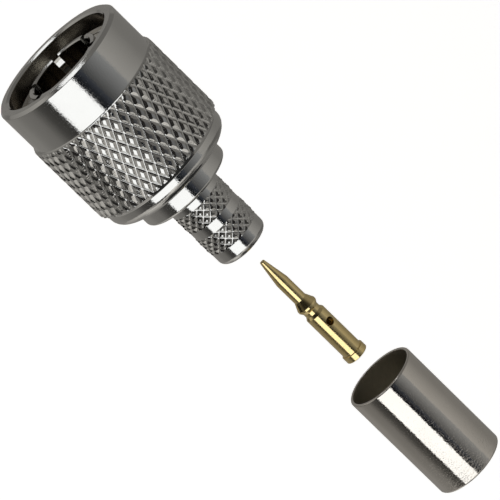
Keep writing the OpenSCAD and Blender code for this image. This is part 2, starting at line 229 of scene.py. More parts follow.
def add_node(tree, kind, inputs=None, **settings):
    """A new node with these settings. An input is a plain value, or the output that links to it."""
    node = tree.nodes.new(kind)
    for key, value in settings.items():
        setattr(node, key, value)
    for key, value in (inputs or {}).items():
        if isinstance(value, bpy.types.NodeSocket):
            tree.links.new(value, node.inputs[key])
        else:
            node.inputs[key].default_value = value
    return node


def turned_metal(name, pale, deep, rough, feed, grain, ringed, relief, bore_tone_and_shade, bore_rough):
    """A metal that was turned or drawn, then plated or left bare. Rings as wide as the lathe's feed
    (mm), for the share ringed, and a grain (mm), for the rest, lift the surface by relief (mm) and make
    it more or less glossy, which breaks the edges of reflections into fine teeth. A wall that faces the
    axis is a bore, with a tone and a roughness of its own and no marks: the dot product of its normal
    and the direction away from the axis is below bore_facing. Where the bore's tone is darker than the
    outside, it is painted shade for the bore's hollow, together with the duller plate there. Broad
    clouds shift the outside between a pale and a deep shade."""
    bore_facing = -0.8
    cloud_size = 4
    mark_low, mark_high = 0.3, 0.7
    glossiest, dullest = 0.4 * rough, 2.2 * rough
    material = bpy.data.materials.new(name)
    material.use_nodes = True
    tree = material.node_tree
    shader = tree.nodes["Principled BSDF"]
    shader.inputs["Metallic"].default_value = 1.0
    spot = add_node(tree, "ShaderNodeTexCoord")
    place = spot.outputs["Object"]
    axial = add_node(tree, "ShaderNodeSeparateXYZ", {"Vector": place}).outputs["X"]
    ring_place = add_node(tree, "ShaderNodeMath", {0: axial, 1: 1 / (feed * MM)}, operation="MULTIPLY")
    rings = add_node(
        tree, "ShaderNodeTexNoise", {"W": ring_place.outputs[0], "Scale": 1.0, "Detail": 2.0},
        noise_dimensions="1D",
    )
    speck = add_node(
        tree, "ShaderNodeTexNoise", {"Vector": place, "Scale": 1 / (grain * MM), "Detail": 2.0}
    )
    marks = add_node(
        tree, "ShaderNodeMix", {"Factor": ringed, "A": speck.outputs[0], "B": rings.outputs[0]}
    )
    off_axis = add_node(tree, "ShaderNodeVectorMath", {0: place, 1: (0, 1, 1)}, operation="MULTIPLY")
    outwards = add_node(tree, "ShaderNodeVectorMath", {0: off_axis.outputs[0]}, operation="NORMALIZE")
    facing = add_node(
        tree, "ShaderNodeVectorMath", {0: outwards.outputs[0], 1: spot.outputs["Normal"]},
        operation="DOT_PRODUCT",
    )
    outside = add_node(
        tree, "ShaderNodeMath", {0: facing.outputs["Value"], 1: bore_facing}, operation="GREATER_THAN"
    )
    height = add_node(
        tree, "ShaderNodeMath", {0: marks.outputs["Result"], 1: outside.outputs[0]},
        operation="MULTIPLY",
    )
    bump = add_node(
        tree, "ShaderNodeBump",
        {"Height": height.outputs[0], "Strength": 1.0, "Distance": relief * MM},
    )
    cloud = add_node(
        tree, "ShaderNodeTexNoise", {"Vector": place, "Scale": 1 / (cloud_size * MM), "Detail": 3.0}
    )
    shade = add_node(
        tree, "ShaderNodeMix", {"Factor": cloud.outputs[0], "A": linear(pale), "B": linear(deep)},
        data_type="RGBA",
    )
    # Bores take their own tone, which is painted shade for the hollow wherever it is darker than the
    # outside
    tone = add_node(
        tree, "ShaderNodeMix",
        {"Factor": outside.outputs[0], "A": linear(bore_tone_and_shade), "B": shade.outputs["Result"]},
        data_type="RGBA",
    )
    gloss = add_node(
        tree, "ShaderNodeMapRange",
        {"Value": marks.outputs["Result"], "From Min": mark_low, "From Max": mark_high,
         "To Min": glossiest, "To Max": dullest},
    )
    finish = add_node(
        tree, "ShaderNodeMix", {"Factor": outside.outputs[0], "A": bore_rough, "B": gloss.outputs[0]}
    )
    tree.links.new(tone.outputs["Result"], shader.inputs["Base Color"])
    tree.links.new(finish.outputs["Result"], shader.inputs["Roughness"])
    tree.links.new(bump.outputs["Normal"], shader.inputs["Normal"])
    return material


# Bright nickel is a pale grey mirror. The lathe's rings show through it and fray what it mirrors, and
# in the mouth, where the bath leaves a thin plate, it is duller and a little brown; that darker brown
# is also painted shade for the hollow of the mouth. On each metal here, rings and grain are drawn
# coarser than the real ones, so that they show.
nickel = turned_metal(
    "bright_nickel_plate", pale="#cecfcd", deep="#c2c2c0", rough=0.07, feed=0.2, grain=0.15, ringed=0.5,
    relief=0.01, bore_tone_and_shade="#aba498", bore_rough=0.2,
)

# Levels across half a diamond, from its middle to the groove's bottom line, and the height there. One
# set of grooves has steeper sides than the other.
KNURL_LEVELS_P = [0.0, 0.09, 0.42, 0.64, 0.91, 1.0]
KNURL_LEVELS_Q = [0.0, 0.09, 0.3, 0.575, 0.91, 1.0]
KNURL_HEIGHTS = [1.0, 1.0, 1.0, 0.574, 0.053, 0.0]
KNURL_EASE = 0.03
KNURL_RUN_OUT = 0.3
KNURL_END_LEN = 0.3
nut_knurl, nut_knurl_faces, nut_knurl_front, nut_knurl_rear = diamond_knurl(
    KNURL_FRONT, KNURL_R, KNURL_DEPTH, KNURL_TEETH, KNURL_ROWS, KNURL_HALF_PITCH, np.pi / KNURL_TEETH,
    KNURL_LEVELS_P, KNURL_LEVELS_Q, KNURL_HEIGHTS, KNURL_EASE, KNURL_RUN_OUT, KNURL_END_LEN,
)
nut_angles = np.linspace(0, 2 * np.pi, NUT_LINES, endpoint=False)


def thread_r(angle, z):
    """Radius in the nut's mouth: the larger of the bored wall (plain mouth, lead-in cone, crest bore)
    and a helical groove with 60 degree flanks and a flat bottom, one pitch deeper with each turn."""
    wall = np.interp(z, [MOUTH_REAR, THREAD_FRONT], [MOUTH_R, THREAD_CREST_R])
    turn = z / THREAD_PITCH - angle / (2 * np.pi)
    from_crest = np.abs(turn - np.round(turn)) * THREAD_PITCH
    crest_half = THREAD_PITCH / 8
    depth = THREAD_ROOT_R - THREAD_CREST_R
    groove = np.clip((from_crest - crest_half) / np.tan(np.pi / 6), 0, depth)
    return np.maximum(wall, THREAD_CREST_R + groove)


# Rows of the threaded wall wind with the thread and stop at its ends. They stand at these shares of its
# pitch, from the middle of the crest: on the edges of crest and root, and between them.
THREAD_PHASES = np.array([-0.125, 0.0, 0.125, 0.211, 0.297, 0.383, 0.461, 0.539, 0.617, 0.703, 0.789])
thread_turns = np.arange(
    np.floor(MOUTH_REAR / THREAD_PITCH) - 1, np.ceil(THREAD_REAR / THREAD_PITCH) + 1
)
thread_rows = (thread_turns[:, None] + THREAD_PHASES).reshape(-1, 1) * THREAD_PITCH
thread_angles = np.linspace(0, 2 * np.pi, NUT_LINES + 1)[None]
thread_z = np.clip(thread_rows + THREAD_PITCH * thread_angles / (2 * np.pi), MOUTH_REAR, THREAD_REAR)
thread = on_axis(thread_r(thread_angles, thread_z), thread_angles, thread_z)
thread_index = np.arange(thread_z.size).reshape(thread_z.shape)
thread_faces = np.stack([
    thread_index[:-1, :-1], thread_index[:-1, 1:], thread_index[1:, 1:], thread_index[1:, :-1],
], axis=-1).reshape(-1, 4)

nut_inside = turned_outline([
    (KNURL_FOOT_REAR_R, KNURL_REAR + KNURL_FOOT_LEN, 0),
    (REAR_BAND_R, REAR_BAND_FRONT, 0.1),
    (REAR_BAND_R, NUT_REAR, REAR_BAND_ROUND),
    (NUT_BORE_R, NUT_REAR, 0.1),
    (NUT_BORE_R, RING_ROOM_REAR, 0.03),
    (RING_ROOM_R, RING_ROOM_REAR, 0.03),
    (RING_ROOM_R, RING_ROOM_FRONT, 0.03),
    (NUT_BORE_R, RING_ROOM_FRONT, 0.03),
    (NUT_BORE_R, RELIEF_REAR, 0.05),
    (RELIEF_R, RELIEF_REAR, 0.1),
    (RELIEF_R, THREAD_REAR, 0.05),
    (THREAD_LIP_R, THREAD_REAR, 0),
])
nut_mouth = turned_outline([
    (MOUTH_R, MOUTH_REAR, 0),
    (MOUTH_R, NUT_FRONT + MOUTH_CHAMFER, 0.04),
    (MOUTH_R + MOUTH_CHAMFER, NUT_FRONT, 0.04),
    (COLLAR_R - COLLAR_CHAMFER, NUT_FRONT, 0.05),
    (COLLAR_R, NUT_FRONT + COLLAR_CHAMFER, 0.06),
    (COLLAR_R, COLLAR_REAR, 0.03),
    (KNURL_FOOT_FRONT_R, KNURL_FRONT - KNURL_FOOT_LEN, 0),
])
nut_rear_rows = np.concatenate([
    revolved(nut_inside, nut_angles),
    on_axis(thread_r(nut_angles, THREAD_REAR), nut_angles, THREAD_REAR)[None],
])
nut_front_rows = revolved(nut_mouth, nut_angles)
make_piece(
    "coupling_nut_plated",
    [
        (nut_knurl, nut_knurl_faces),
        stitched(nut_knurl_rear, nut_rear_rows[0]),
        (nut_rear_rows, ring_faces(*nut_rear_rows.shape[:2])),
        (thread, thread_faces),
        (nut_front_rows, ring_faces(*nut_front_rows.shape[:2])),
        stitched(nut_knurl_front, nut_front_rows[-1]),
    ],
    nickel, sharp=28, body="nut", node="coupling_nut",
)

# Connector body. One turned brass piece, nickel plated: a sleeve sawn into six springy fingers, a
# land for the gasket, a bearing for the nut, a flange, and a hollow stem with two knurled bands on
# which the ferrule crimps the cable's braid.
SLEEVE_R = 4.05
SLEEVE_BORE_R = 3.5
SLOT_W = 0.72
SLOT_COUNT = 6
SLOT_END = 4.85
BAND_R = 2.86
BAND_DEPTH = 0.156
BAND_TEETH = 20
BAND_ROWS = 4
BAND_HALF_PITCH = 0.45
BAND_EASE = 0.03
BAND_RUN_OUT = 0.3
BAND_END_LEN = 0.15
BAND_1 = 17.8
BAND_2 = 20.775
BAND_LEN = (BAND_ROWS + 0.5) * BAND_HALF_PITCH
BAND_LEVELS = [0.0, 0.2, 0.5, 0.8, 1.0]
BAND_HEIGHTS = [1.0, 1.0, 0.556, 0.109, 0.0]
STEM_R = 2.775
STEM_END = 24.45
STEM_END_ROUND = 0.6
STEM_BORE_R = 2.05
STEM_BORE_FRONT = 13.5
NECK_R = 2.825
PASSAGE_R = 1.5
INSULATOR_ROOM_R = 3.16
INSULATOR_STOP = 12.75
SLEEVE_BORE_REAR = 5.2
SLEEVE_CHAMFER = 0.12
LAND_R = 4.3
LAND_FRONT = 4.9
BEARING_R = 4.85
BEARING_FRONT = 6.0
RING_SEAT_R = 4.31
RING_SEAT_FRONT = 9.5
RING_SEAT_REAR = 10.2
FLANGE_REAR = 16.55
FLANGE_ROUND = 0.3
BODY_LINES = 240
# The same bright nickel, darker brown in the narrow bores: painted shade for their hollows, together
# with the thin plate there, which the bath hardly reaches
body_nickel = turned_metal(
    "bright_nickel_plate_on_body", pale="#cecfcd", deep="#c2c2c0", rough=0.07, feed=0.2, grain=0.15,
    ringed=0.5, relief=0.01, bore_tone_and_shade="#8f887d", bore_rough=0.15,
)
bands = [
    diamond_knurl(
        at, BAND_R, BAND_DEPTH, BAND_TEETH, BAND_ROWS, BAND_HALF_PITCH, 0.0,
        BAND_LEVELS, BAND_LEVELS, BAND_HEIGHTS, BAND_EASE, BAND_RUN_OUT, BAND_END_LEN,
    )
    for at in (BAND_1, BAND_2)
]
body_angles = np.linspace(0, 2 * np.pi, BODY_LINES, endpoint=False)
stem_and_bore = turned_outline([
    (STEM_R, BAND_2 + BAND_LEN, 0),
    (STEM_R, STEM_END, STEM_END_ROUND),
    (STEM_BORE_R, STEM_END, 0.03),
    (STEM_BORE_R, STEM_BORE_FRONT, 0.05),
    (PASSAGE_R, STEM_BORE_FRONT, 0.03),
    (PASSAGE_R, INSULATOR_STOP, 0.03),
    (INSULATOR_ROOM_R, INSULATOR_STOP, 0.05),
    (INSULATOR_ROOM_R, SLEEVE_BORE_REAR, 0.05),
    (SLEEVE_BORE_R, SLEEVE_BORE_REAR, 0.05),
    (SLEEVE_BORE_R, SLOT_END, 0),
])
sleeve = turned_outline([
    (SLEEVE_BORE_R, SLOT_END, 0),
    (SLEEVE_BORE_R, SLEEVE_CHAMFER, 0.03),
    (SLEEVE_BORE_R + SLEEVE_CHAMFER, 0, 0.03),
    (SLEEVE_R, 0, 0.06),
    (SLEEVE_R, SLOT_END, 0),
])
bearing_and_flange = turned_outline([
    (SLEEVE_R, SLOT_END, 0),
    (SLEEVE_R, LAND_FRONT, 0.02),
    (LAND_R, LAND_FRONT, 0.03),
    (LAND_R, BEARING_FRONT, 0.05),
    (BEARING_R, BEARING_FRONT, 0.08),
    (BEARING_R, RING_SEAT_FRONT, 0.03),
    (RING_SEAT_R, RING_SEAT_FRONT, 0.03),
    (RING_SEAT_R, RING_SEAT_REAR, 0.03),
    (BEARING_R, RING_SEAT_REAR, 0.03),
    (BEARING_R, FLANGE_REAR, FLANGE_ROUND),
    (NECK_R, FLANGE_REAR, 0.08),
    (NECK_R, BAND_1, 0),
])
between_bands = np.array([[STEM_R, BAND_1 + BAND_LEN], [STEM_R, BAND_2]])
body_outline = np.concatenate([stem_and_bore, sleeve[1:], bearing_and_flange[1:]])
first_row, last_row = len(stem_and_bore) - 1, len(stem_and_bore) + len(sleeve) - 2
slot_middle = np.pi / SLOT_COUNT * (1 + 2 * np.arange(SLOT_COUNT))
edge_guess = np.arcsin(SLOT_W / 2 / SLEEVE_R)


def nearest_line(angle):
    """Number of the body's grid line that lies nearest to each angle."""
    off = np.angle(np.exp(1j * (body_angles[None] - np.asarray(angle)[:, None])))
    return np.abs(off).argmin(axis=1)


slot_from, slot_to = nearest_line(slot_middle - edge_guess), nearest_line(slot_middle + edge_guess)
# Along the sleeve, grid lines bend to the sides of the slots, which are parallel: at radius r they
# stand arcsin(half the slot's width / r) to each side of the slot's middle.
half_slot = np.arcsin(SLOT_W / 2 / sleeve[:, :1])
edge_lines = np.concatenate([slot_from, slot_to])
edge_angles = np.concatenate([slot_middle - half_slot, slot_middle + half_slot], axis=1)
shift = np.angle(np.exp(1j * (edge_angles - body_angles[edge_lines])))
around = np.argsort(body_angles[edge_lines] % (2 * np.pi))
knots = (body_angles[edge_lines] % (2 * np.pi))[around]
sleeve_angles = np.stack([
    body_angles + np.interp(body_angles % (2 * np.pi), knots, row, period=2 * np.pi)
    for row in shift[:, around]
])
angle_grid = np.repeat(body_angles[None], len(body_outline), axis=0)
angle_grid[first_row:last_row + 1] = sleeve_angles
body_rows = on_axis(body_outline[:, :1], angle_grid, body_outline[:, 1:])
body_index = np.arange(body_rows.shape[0] * BODY_LINES).reshape(-1, BODY_LINES)
slot_lines = [
    np.arange(a, a + (b - a) % BODY_LINES + 1) % BODY_LINES for a, b in zip(slot_from, slot_to)
]
in_slot = np.zeros((body_rows.shape[0] - 1, BODY_LINES), bool)
for cut in slot_lines:
    in_slot[first_row:last_row, cut[:-1]] = True
body_faces = ring_faces(*body_rows.shape[:2])[~in_slot.reshape(-1)]
slot_walls = [body_index[first_row:last_row + 1, cut[end]] for cut in slot_lines for end in (0, -1)]
slot_floors = np.concatenate([
    np.stack([
        body_index[first_row, cut[:-1]], body_index[first_row, cut[1:]],
        body_index[last_row, cut[1:]], body_index[last_row, cut[:-1]],
    ], axis=-1)
    for cut in slot_lines
])
gap_rows = revolved(between_bands, body_angles)
make_piece(
    "connector_body_plated",
    [
        bands[0][:2],
        bands[1][:2],
        (body_rows, body_faces, slot_walls, slot_floors),
        stitched(bands[0][2], body_rows[-1]),
        stitched(bands[0][3], gap_rows[0]),
        (gap_rows, ring_faces(*gap_rows.shape[:2])),
        stitched(bands[1][2], gap_rows[-1]),
        stitched(bands[1][3], body_rows[0]),
    ],
    body_nickel, sharp=32, body="body", node="connector_body",
)

# Insulator. PTFE rod, turned and drilled in steps, pressed into the body from the rear. It carries
# the centre contact and keeps it clear of the metal around it.
INSULATOR_R = 3.15
INSULATOR_FRONT = 4.2
INSULATOR_MIDDLE = 8.5
INSULATOR_BORE_R = 1.09
NOSE_BORE_R = 0.715
NOSE_CONE_FRONT = 5.51
NOSE_CONE_REAR = 6.36
PLAIN_LINES = 128
plain_angles = np.linspace(0, 2 * np.pi, PLAIN_LINES, endpoint=False)
insulator_outline = turned_outline([
    (INSULATOR_BORE_R, INSULATOR_MIDDLE, 0),
    (INSULATOR_BORE_R, INSULATOR_STOP, 0.06),
    (INSULATOR_R, INSULATOR_STOP, 0.1),
    (INSULATOR_R, INSULATOR_FRONT, 0.1),
    (NOSE_BORE_R, INSULATOR_FRONT, 0.06),
    (NOSE_BORE_R, NOSE_CONE_FRONT, 0.05),
    (INSULATOR_BORE_R, NOSE_CONE_REAR, 0.05),
    (INSULATOR_BORE_R, INSULATOR_MIDDLE, 0),
])


def soft_solid(name, pale, deep, rough, ior, grain, relief):
    """A turned or moulded solid that is no metal: a grain (mm) blends a pale and a deep shade and lifts
    the surface by relief (mm)."""
    material = bpy.data.materials.new(name)
    material.use_nodes = True
    tree = material.node_tree
    shader = tree.nodes["Principled BSDF"]
    shader.inputs["Roughness"].default_value = rough
    shader.inputs["IOR"].default_value = ior
    place = add_node(tree, "ShaderNodeTexCoord").outputs["Object"]
    mottle = add_node(
        tree, "ShaderNodeTexNoise", {"Vector": place, "Scale": 1 / (grain * MM), "Detail": 4.0}
    )
    shade = add_node(
        tree, "ShaderNodeMix", {"Factor": mottle.outputs[0], "A": linear(pale), "B": linear(deep)},
        data_type="RGBA",
    )
    bump = add_node(
        tree, "ShaderNodeBump",
        {"Height": mottle.outputs[0], "Strength": 1.0, "Distance": relief * MM},
    )
    tree.links.new(shade.outputs["Result"], shader.inputs["Base Color"])
    tree.links.new(bump.outputs["Normal"], shader.inputs["Normal"])
    return material


def closed_turning(outline, angles):
    """Points and faces of a turned ring whose outline comes back to its first point."""
    rows = revolved(outline[:-1], angles)
    rows = np.concatenate([rows, rows[:1]])
    return rows, ring_faces(*rows.shape[:2])


# Turned PTFE is a waxy white with a soft sheen, and shows hardly any grain
ptfe = soft_solid(
    "turned_ptfe", pale="#f2f0ea", deep="#e6e3da", rough=0.45, ior=1.35, grain=0.5, relief=0.002,
)
make_piece(
    "insulator_turned", [closed_turning(insulator_outline, plain_angles)],
    ptfe, sharp=30, body="body", node="insulator",
)

# Gasket. A flat ring moulded from red silicone rubber, pushed over the root of the sleeve, which
# seals against the rim of the jack.
GASKET_R = 5.0
GASKET_BORE_R = 4.32
GASKET_MIDDLE = 5.4
gasket_outline = turned_outline([
    (GASKET_BORE_R, GASKET_MIDDLE, 0),
    (GASKET_BORE_R, LAND_FRONT, 0.08),
    (GASKET_R, LAND_FRONT, 0.15),
    (GASKET_R, BEARING_FRONT, 0.15),
    (GASKET_BORE_R, BEARING_FRONT, 0.08),
    (GASKET_BORE_R, GASKET_MIDDLE, 0),
])
# Moulded silicone is matt, with a fine bloom on its red
silicone = soft_solid(
    "moulded_silicone", pale="#9c2b20", deep="#86251c", rough=0.6, ior=1.41, grain=0.25, relief=0.004,
)
make_piece(
    "gasket_moulded", [closed_turning(gasket_outline, plain_angles)],
    silicone, sharp=30, body="body", node="gasket",
)

# Retaining ring. Phosphor bronze wire of rectangular section, coiled to an open ring. It springs into
# the body's groove and holds the nut, which turns on it.
RING_R = 5.3
RING_BORE_R = 4.33
RING_MIDDLE = 9.8
RING_SPLIT = 1.5
RING_STEPS = 121
ring_section = turned_outline([
    (RING_BORE_R, RING_MIDDLE, 0),
    (RING_BORE_R, RING_SEAT_FRONT, 0.06),
    (RING_R, RING_SEAT_FRONT, 0.1),
    (RING_R, RING_SEAT_REAR, 0.1),
    (RING_BORE_R, RING_SEAT_REAR, 0.06),
    (RING_BORE_R, RING_MIDDLE, 0),
])[:-1]
# The sides of the split are parallel: at radius r they stand arcsin(half the split / r) from its middle
ring_half_gap = np.arcsin(RING_SPLIT / 2 / ring_section[:, :1])
ring_share = np.linspace(0, 1, RING_STEPS)[None]
ring_angles = ring_half_gap + (2 * np.pi - 2 * ring_half_gap) * ring_share
ring_rows = on_axis(ring_section[:, :1], ring_angles, ring_section[:, 1:]).transpose(1, 0, 2)
ring_count, ring_around = ring_rows.shape[:2]
ring_ends = np.arange(ring_around), np.arange(ring_around) + (ring_count - 1) * ring_around
# Bare spring bronze is a brown metal with a satin shine and faint lines from drawing
bronze = turned_metal(
    "spring_bronze", pale="#b98a5c", deep="#a87a4c", rough=0.25, feed=0.1, grain=0.2, ringed=0.5,
    relief=0.001, bore_tone_and_shade="#b98a5c", bore_rough=0.25,
)
make_piece(
    "retaining_ring_sprung", [(ring_rows, ring_faces(ring_count, ring_around), ring_ends)],
    bronze, sharp=30, body="body", node="retaining_ring",
)

# Centre contact. Brass, turned with a conical tip, a shoulder that stops it in the insulator, a groove
# and a rear collar, drilled from behind for the cable's inner conductor and from the side for looking
# in, then gold plated. It is soldered or crimped on the conductor and pushed in from the rear.
TIP = 26.85
TIP_CENTRE_R = 0.1
TIP_FLAT_R = 0.25
CONE_END = TIP + 2.75
PIN_R = 0.675
PIN_END = TIP + 13.1
SHOULDER_FOOT = TIP + 5.2
SHOULDER_TOP = TIP + 6.05
SHOULDER_END = TIP + 6.25
GROOVE_R = 0.85
GROOVE_FRONT = TIP + 6.6
GROOVE_REAR = TIP + 7.0
BARREL_R = 1.05
BARREL_FRONT = TIP + 7.3
HEEL_R = 1.2
HEEL_FRONT = TIP + 12.4
CUP_R = 0.55
CUP_WALL_END = PIN_END - 5.1
CUP_POINT = PIN_END - 5.4
CUP_POINT_R = 0.03
PEEP_R = 0.43
PEEP_AT = TIP + 8.55
# The grid has two rectangles left open for the peephole, in the barrel and in the cup, with equally
# many points around them
PIN_LINES = 120
PATCH_RINGS = 6
BARREL_PATCH_HALF_LEN = 0.62
BARREL_PATCH_HALF_LINES = 12
BARREL_PATCH_ROWS = 22
CUP_PATCH_HALF_LEN = 0.5
CUP_PATCH_HALF_LINES = 20
CUP_PATCH_ROWS = BARREL_PATCH_ROWS + 2 * (BARREL_PATCH_HALF_LINES - CUP_PATCH_HALF_LINES)


def peephole_patch(radius, half_lines, rows, half_length):
    """Rings of points around the peephole in the side of a tube of this radius. The outer ring follows
    the edges of the rectangle left open in the tube's grid, the inner ring the circle where a drill of
    radius PEEP_R meets the tube, and rings between blend evenly from one to the other."""
    step = 2 * np.pi / PIN_LINES
    side = np.arange(-half_lines, half_lines) * step
    up = np.linspace(-1, 1, rows + 1)[:-1] * half_length
    edge_a = np.r_[side, np.full(rows, half_lines * step), -side, np.full(rows, -half_lines * step)]
    edge_z = np.r_[np.full(2 * half_lines, -half_length), up, np.full(2 * half_lines, half_length), -up]
    count = len(edge_a)
    turn = -np.pi / 2 + (np.arange(count) - half_lines) / count * 2 * np.pi
    hole_a = np.arcsin(PEEP_R * np.cos(turn) / radius)
    hole_z = PEEP_R * np.sin(turn)
    t = np.linspace(0, 1, PATCH_RINGS)[:, None]
    a, z = edge_a + (hole_a - edge_a) * t, edge_z + (hole_z - edge_z) * t
    return on_axis(radius, a, PEEP_AT + z)


pin_outer = turned_outline([
    (TIP_CENTRE_R, TIP, 0),
    (TIP_FLAT_R, TIP, 0.06),
    (PIN_R, CONE_END, 0.3),
    (PIN_R, SHOULDER_FOOT, 0.12),
    (BARREL_R, SHOULDER_TOP, 0.05),
    (BARREL_R, SHOULDER_END, 0.05),
    (GROOVE_R, GROOVE_FRONT, 0.03),
    (GROOVE_R, GROOVE_REAR, 0.03),
    (BARREL_R, BARREL_FRONT, 0.05),
    (BARREL_R, PEEP_AT - BARREL_PATCH_HALF_LEN, 0),
])
barrel_window_z = np.linspace(-1, 1, BARREL_PATCH_ROWS + 1) * BARREL_PATCH_HALF_LEN + PEEP_AT
barrel_window = np.stack([np.full(BARREL_PATCH_ROWS + 1, BARREL_R), barrel_window_z], axis=1)
pin_heel = turned_outline([
    (BARREL_R, PEEP_AT + BARREL_PATCH_HALF_LEN, 0),
    (BARREL_R, HEEL_FRONT, 0.03),
    (HEEL_R, HEEL_FRONT, 0.04),
    (HEEL_R, PIN_END, 0.06),
    (CUP_R, PIN_END, 0.06),
    (CUP_R, PEEP_AT + CUP_PATCH_HALF_LEN, 0),
])
cup_window_z = np.linspace(1, -1, CUP_PATCH_ROWS + 1) * CUP_PATCH_HALF_LEN + PEEP_AT
cup_window = np.stack([np.full(CUP_PATCH_ROWS + 1, CUP_R), cup_window_z], axis=1)
cup_end = turned_outline([
    (CUP_R, PEEP_AT - CUP_PATCH_HALF_LEN, 0),
    (CUP_R, CUP_WALL_END, 0.02),
    (CUP_POINT_R, CUP_POINT, 0),
])
pin_outline = np.concatenate([
    pin_outer[:-1], barrel_window, pin_heel[1:-1], cup_window, cup_end[1:],
])
pin_angles = np.arange(PIN_LINES) * 2 * np.pi / PIN_LINES
pin_rows = revolved(pin_outline, pin_angles)
pin_open = np.zeros((len(pin_outline) - 1, PIN_LINES), bool)
barrel_row = len(pin_outer) - 1
cup_row = barrel_row + len(barrel_window) + len(pin_heel) - 2
for row, count, half_lines in (
    (barrel_row, BARREL_PATCH_ROWS, BARREL_PATCH_HALF_LINES),
    (cup_row, CUP_PATCH_ROWS, CUP_PATCH_HALF_LINES),
):
    pin_open[row:row + count, np.arange(-half_lines, half_lines)] = True
pin_faces = ring_faces(len(pin_outline), PIN_LINES)[~pin_open.reshape(-1)]
pin_caps = np.arange(PIN_LINES), np.arange(PIN_LINES) + (len(pin_outline) - 1) * PIN_LINES
barrel_patch = peephole_patch(
    BARREL_R, BARREL_PATCH_HALF_LINES, BARREL_PATCH_ROWS, BARREL_PATCH_HALF_LEN
)
cup_patch = peephole_patch(CUP_R, CUP_PATCH_HALF_LINES, CUP_PATCH_ROWS, CUP_PATCH_HALF_LEN)
# The two patches start at different corners: the drilled wall joins points at the same turn
cup_patch = np.roll(cup_patch, BARREL_PATCH_HALF_LINES - CUP_PATCH_HALF_LINES, axis=1)
peephole_wall = np.stack([barrel_patch[-1], cup_patch[-1]])
# Gold plate on a turned pin is a pale yellow mirror, a little blurred, and duller inside the cup
gold = turned_metal(
    "gold_plate", pale="#efdca6", deep="#e3cc8e", rough=0.12, feed=0.12, grain=0.15, ringed=0.5,
    relief=0.0006, bore_tone_and_shade="#f2dca8", bore_rough=0.5,
)
make_piece(
    "centre_contact_gold",
    [
        (pin_rows, pin_faces, pin_caps),
        (barrel_patch, ring_faces(*barrel_patch.shape[:2])),
        (cup_patch, ring_faces(*cup_patch.shape[:2])),
        (peephole_wall, ring_faces(*peephole_wall.shape[:2])),
    ],
    gold, sharp=25, body="contact", node="centre_contact",
)

# Crimp ferrule. A length of thin brass tube, drawn, cut and tumbled so that its edges are rounded,
# then nickel plated. It goes over the braid on the stem and is crimped there.
FERRULE_FRONT = 43.1
FERRULE_REAR = 55.7
FERRULE_R = 3.7
FERRULE_BORE_R = 3.38
FERRULE_INSIDE = FERRULE_FRONT + 5
FERRULE_LINES = 256
ferrule_outline = turned_outline([
    (FERRULE_BORE_R, FERRULE_INSIDE, 0),
    (FERRULE_BORE_R, FERRULE_FRONT, 0.08),
    (FERRULE_R, FERRULE_FRONT, 0.15),
    (FERRULE_R, FERRULE_REAR, 0.15),
    (FERRULE_BORE_R, FERRULE_REAR, 0.08),
    (FERRULE_BORE_R, FERRULE_INSIDE, 0),
])
ferrule_angles = np.linspace(0, 2 * np.pi, FERRULE_LINES, endpoint=False)
# Nickel on a tumbled tube has hardly any rings. A fine grain frays its highlight, and inside it is satin,
# with a darker, warmer tone there that is painted shade for the tube's hollow.
drawn_nickel = turned_metal(
    "nickel_plate_on_drawn_tube", pale="#d9d6d0", deep="#cdc9c2", rough=0.055, feed=0.3, grain=0.16,
    ringed=0.1, relief=0.006, bore_tone_and_shade="#ccc8bd", bore_rough=0.4,
)
make_piece(
    "crimp_ferrule_drawn", [closed_turning(ferrule_outline, ferrule_angles)],
    drawn_nickel, sharp=20, body="ferrule", node="crimp_ferrule",
)

# Camera. A long lens from the mouth's side and above, so that the axis runs from the upper left to the
# lower right of the picture and leans a little towards the lens.
TARGET = Vector((-25.24, 0, 0)) * MM
CAMERA_AWAY = 450 * MM
LENS_LENGTH = 351
SENSOR_WIDTH = 36
LEAN = math.radians(18.7)
RAISED = math.radians(62)
ROLL = math.radians(44.3)
towards = Vector((math.sin(LEAN), math.cos(LEAN) * math.cos(RAISED), math.cos(LEAN) * math.sin(RAISED)))
axis_seen = (Vector((1, 0, 0)) - towards * towards.x).normalized()
across = axis_seen.cross(towards)
right = -math.cos(ROLL) * axis_seen + math.sin(ROLL) * across
up = math.sin(ROLL) * axis_seen + math.cos(ROLL) * across
camera_data = bpy.data.cameras.new("camera")
camera_data.lens = LENS_LENGTH
camera_data.sensor_width = SENSOR_WIDTH
camera_data.clip_start = 0.01
camera_data.clip_end = 20
camera = bpy.data.objects.new("camera", camera_data)
camera.matrix_world = Matrix.Translation(TARGET + towards * CAMERA_AWAY) @ Matrix(
    (right, up, towards)
).transposed().to_4x4()
bpy.context.scene.collection.objects.link(camera)
bpy.context.scene.camera = camera

# Studio. Panels that shine softly close a tube around the object's axis. Plain walls mirror the middle:
# a softbox to the lower left of the lens, a dark flag at it and grey cards on both sides. The knurls'
# flanks mirror the panels ahead and behind, up to a window at the front end and a dark flag at the rear.
PANEL_R = 400
PANEL_STEPS = 49
FRONT_END = 1100
FRONT = 120
MIDDLE_FRONT = -20
MIDDLE_REAR = -230
RIGHT_WING_REAR = -388
LEFT_WING_REAR = -366
REAR = -520
REAR_END = -1000
REAR_FLAG_AT = -1010
REAR_FLAG_HALF = 430
REAR_FLAG_STRENGTH = 0.03
WINDOW_HALF = 370
WINDOW_STRENGTH = 1.5
WHITE = "#ffffff"
WARM_WHITE = "#fffaf3"
COLD_WHITE = "#dfe9ff"
# The seam of the two front panels slants: turns in degrees, and mm along x there
FRONT_SEAM = ([30, 100], [66, 5])


